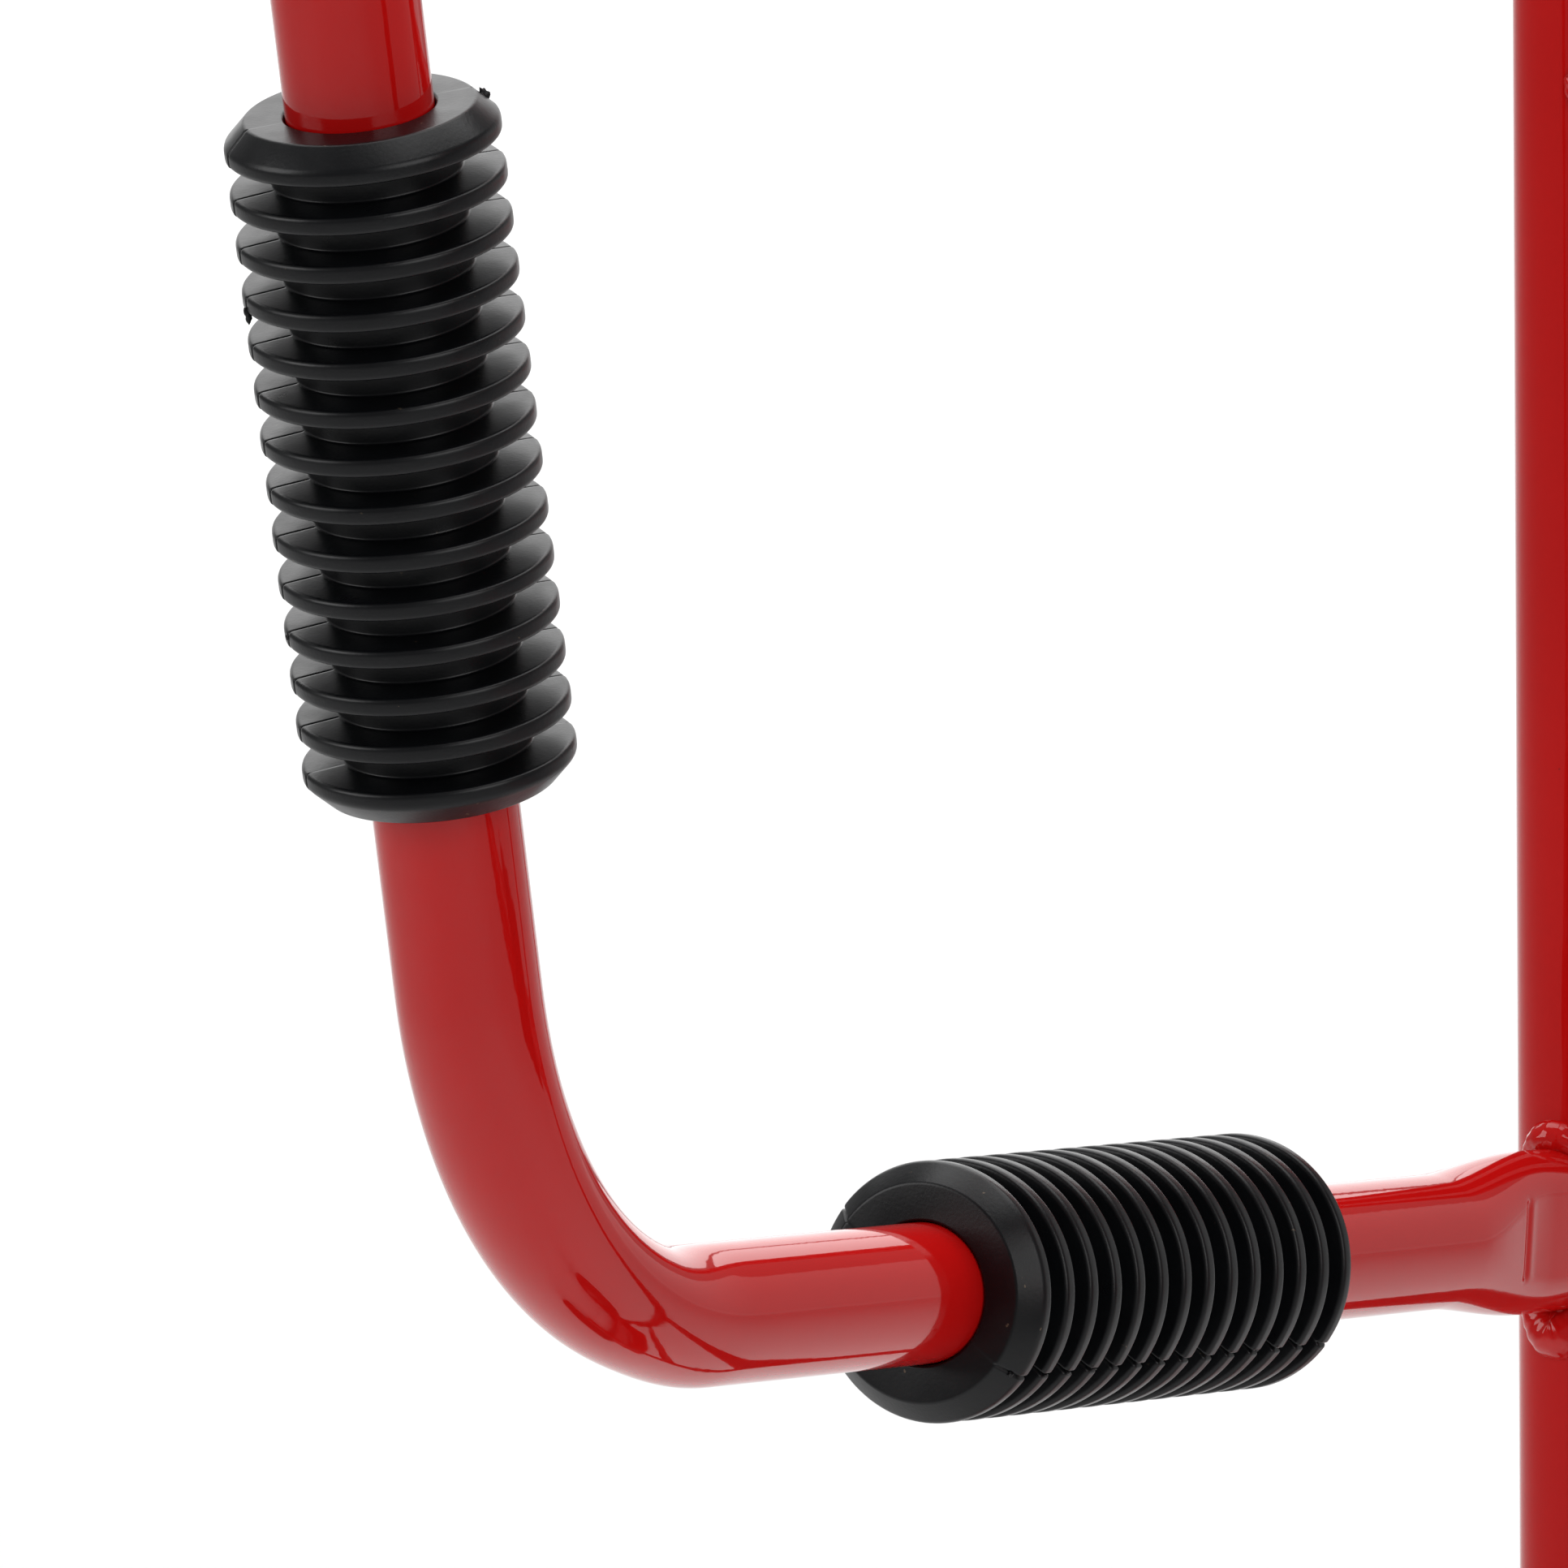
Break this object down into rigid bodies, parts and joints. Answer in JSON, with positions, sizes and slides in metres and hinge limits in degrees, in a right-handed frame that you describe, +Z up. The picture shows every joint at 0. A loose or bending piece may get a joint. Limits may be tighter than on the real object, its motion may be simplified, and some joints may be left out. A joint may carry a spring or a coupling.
{
  "type": "hand truck",
  "caption": "Upright two-wheeled hand truck with a pair of closed loop handles with ribbed grips, curved crossbars, pneumatic wheels and a flat toe plate.",
  "frame": {"origin": "on the floor, on the truck's centre plane, midway between its foremost and rearmost points", "axes": "+Z up, +Y the way the toe plate points, +X across the truck along the axle, towards its right wheel when seen from behind"},
  "size_m": [0.536, 0.686, 1.3461],
  "materials": {
    "red_paint": "glossy red enamel or powder coat on steel",
    "grip_rubber": "satin black moulded PVC",
    "tyre_rubber": "matt black rubber",
    "rim_paint": "off-white enamel on pressed steel",
    "zinc_plate": "bright zinc plated steel",
    "bearing_steel": "ground bearing steel"
  },
  "bodies": {
    "truck_frame": {"left_handle_tube": "red_paint", "left_vertical_grip": "grip_rubber", "left_horizontal_grip": "grip_rubber", "left_lower_rail": "red_paint", "left_axle_bracket": "red_paint", "left_splice_bolt_1": "zinc_plate", "left_splice_nut_1": "zinc_plate", "left_splice_bolt_2": "zinc_plate", "left_splice_nut_2": "zinc_plate", "left_toe_bolt_1": "zinc_plate", "left_toe_nut_1": "zinc_plate", "left_toe_bolt_2": "zinc_plate", "left_toe_nut_2": "zinc_plate", "left_axle_spacer": "zinc_plate", "left_axle_washer": "zinc_plate", "left_cotter_pin": "zinc_plate", "right_handle_tube": "red_paint", "right_vertical_grip": "grip_rubber", "right_horizontal_grip": "grip_rubber", "right_lower_rail": "red_paint", "right_axle_bracket": "red_paint", "right_splice_bolt_1": "zinc_plate", "right_splice_nut_1": "zinc_plate", "right_splice_bolt_2": "zinc_plate", "right_splice_nut_2": "zinc_plate", "right_toe_bolt_1": "zinc_plate", "right_toe_nut_1": "zinc_plate", "right_toe_bolt_2": "zinc_plate", "right_toe_nut_2": "zinc_plate", "right_axle_spacer": "zinc_plate", "right_axle_washer": "zinc_plate", "right_cotter_pin": "zinc_plate", "upper_crossbar": "red_paint", "middle_crossbar": "red_paint", "lower_crossbar": "red_paint", "top_crossbar": "red_paint", "toe_plate": "red_paint", "axle": "zinc_plate"},
    "left_wheel": {"left_wheel_tyre": "tyre_rubber", "left_wheel_inner_tube": "tyre_rubber", "left_wheel_outer_rim_half": "rim_paint", "left_wheel_inner_rim_half": "rim_paint", "left_wheel_hub_sleeve": "zinc_plate", "left_wheel_outer_bearing": "bearing_steel", "left_wheel_inner_bearing": "bearing_steel", "left_wheel_rim_bolt_1": "zinc_plate", "left_wheel_rim_bolt_2": "zinc_plate", "left_wheel_rim_bolt_3": "zinc_plate", "left_wheel_rim_bolt_4": "zinc_plate"},
    "right_wheel": {"right_wheel_tyre": "tyre_rubber", "right_wheel_inner_tube": "tyre_rubber", "right_wheel_outer_rim_half": "rim_paint", "right_wheel_inner_rim_half": "rim_paint", "right_wheel_hub_sleeve": "zinc_plate", "right_wheel_outer_bearing": "bearing_steel", "right_wheel_inner_bearing": "bearing_steel", "right_wheel_rim_bolt_1": "zinc_plate", "right_wheel_rim_bolt_2": "zinc_plate", "right_wheel_rim_bolt_3": "zinc_plate", "right_wheel_rim_bolt_4": "zinc_plate"}
  },
  "joints": [
    {"name": "left_wheel_spin", "type": "hinge", "parent": "truck_frame", "child": "left_wheel", "pos_m": [-0.2175, -0.01199, 0.13], "axis": [1, 0, 0], "continuous": true},
    {"name": "right_wheel_spin", "type": "hinge", "parent": "truck_frame", "child": "right_wheel", "pos_m": [0.2175, -0.01199, 0.13], "axis": [1, 0, 0], "continuous": true}
  ]
}
